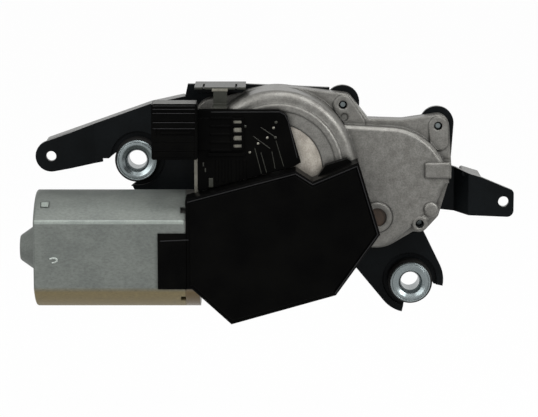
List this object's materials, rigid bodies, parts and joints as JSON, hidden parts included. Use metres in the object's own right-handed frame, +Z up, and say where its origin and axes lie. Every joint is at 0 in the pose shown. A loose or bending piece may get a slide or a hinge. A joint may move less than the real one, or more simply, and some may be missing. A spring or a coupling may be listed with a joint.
{
  "type": "rear wiper motor",
  "caption": "Rear window wiper motor: flatted motor can, die-cast worm gearbox, linkage to an output shaft, plug-in electronics cover and a black bracket with rubber-mounted sleeves.",
  "frame": {"origin": "on the output shaft's axis, at the plain journal just past the bearing tube", "axes": "+X right along the armature shaft as the picture shows it, +Z up, +Y out along the output shaft, away from the viewer"},
  "size_m": [0.2246, 0.0915, 0.1075],
  "materials": {
    "zinc_steel": "galvanised sheet steel, dull grey-green",
    "die_cast_aluminium": "matt die-cast aluminium",
    "black_plastic": "black glass-filled moulding, satin",
    "black_paint": "black electro-coated steel",
    "rubber": "black moulded rubber",
    "sleeve_zinc": "zinc-plated steel, satin",
    "bright_steel": "ground steel",
    "link_steel": "phosphated steel",
    "clip_steel": "dark oiled spring steel",
    "bronze": "sintered bronze",
    "gear_plastic": "natural acetal",
    "ferrite": "sintered ferrite, dark grey",
    "laminations": "varnished steel laminations",
    "copper": "copper",
    "brass": "pressed brass",
    "carbon": "copper-graphite",
    "tinned": "tinned copper, satin",
    "board": "green solder mask",
    "component_black": "moulded component body",
    "capacitor_sleeve": "shrink sleeve"
  },
  "bodies": {
    "frame": {"motor_can": "zinc_steel", "gear_housing": "die_cast_aluminium", "electronics_cover": "black_plastic", "carrier_plate": "black_plastic", "connector_housing": "black_plastic", "brush_plate": "black_plastic", "mounting_bracket": "black_paint", "grommets": "rubber", "gearbox_gasket": "rubber", "grommet_sleeves": "sleeve_zinc", "tube_rivets": "sleeve_zinc", "bracket_screws": "sleeve_zinc", "bearing_outer_race": "bright_steel", "bearing_balls": "bright_steel", "wheel_axle": "bright_steel", "shaft_washer": "bright_steel", "thrust_screw": "bright_steel", "wheel_retaining_clip": "bright_steel", "wheel_thrust_washer": "bright_steel", "brush_springs": "bright_steel", "bush_retainer": "bright_steel", "bearing_tube": "link_steel", "carrier_clip": "clip_steel", "rear_bush": "bronze", "worm_end_bush": "bronze", "output_bushes": "bronze", "rear_thrust_pad": "gear_plastic", "field_magnets": "ferrite", "choke_coils": "ferrite", "brush_holders": "brass", "carbon_brushes": "carbon", "lead_frame": "tinned", "contact_pads": "tinned", "connector_terminals": "tinned", "ground_strap": "tinned", "circuit_board": "board", "relay": "component_black", "motor_controller": "component_black", "capacitors": "capacitor_sleeve"},
    "armature": {"armature_shaft": "bright_steel", "worm": "bright_steel", "lamination_stack": "laminations", "armature_windings": "copper", "commutator": "copper", "bearing_inner_race": "bright_steel"},
    "wheel": {"worm_wheel": "gear_plastic", "wheel_bush": "bronze", "crank_pin": "bright_steel"},
    "rod": {"connecting_rod": "link_steel"},
    "output": {"output_shaft": "bright_steel", "output_lever": "link_steel", "lever_pin": "bright_steel", "shaft_circlip": "bright_steel"}
  },
  "joints": [
    {"name": "armature_spin", "type": "hinge", "parent": "frame", "child": "armature", "pos_m": [-0.0455, -0.0433, -0.0134], "axis": [-1, 0, 0], "range_deg": [0, 4750]},
    {"name": "wheel_swing", "type": "hinge", "parent": "frame", "child": "wheel", "pos_m": [-0.0455, -0.0433, 0.02385], "axis": [0, -1, 0], "range_deg": [0, 95]},
    {"name": "rod_swing", "type": "hinge", "parent": "wheel", "child": "rod", "pos_m": [-0.02603, -0.0343, 0.03172], "axis": [0, -1, 0], "range_deg": [-95, 0]},
    {"name": "output_swing", "type": "hinge", "parent": "frame", "child": "output", "pos_m": [0, 0, 0], "axis": [0, -1, 0], "range_deg": [0, 95]}
  ],
  "couplings": [
    {"joint": "wheel_swing", "follows": "armature_spin", "ratio": 0.02},
    {"joint": "rod_swing", "follows": "armature_spin", "ratio": -0.02},
    {"joint": "output_swing", "follows": "armature_spin", "ratio": 0.02}
  ]
}
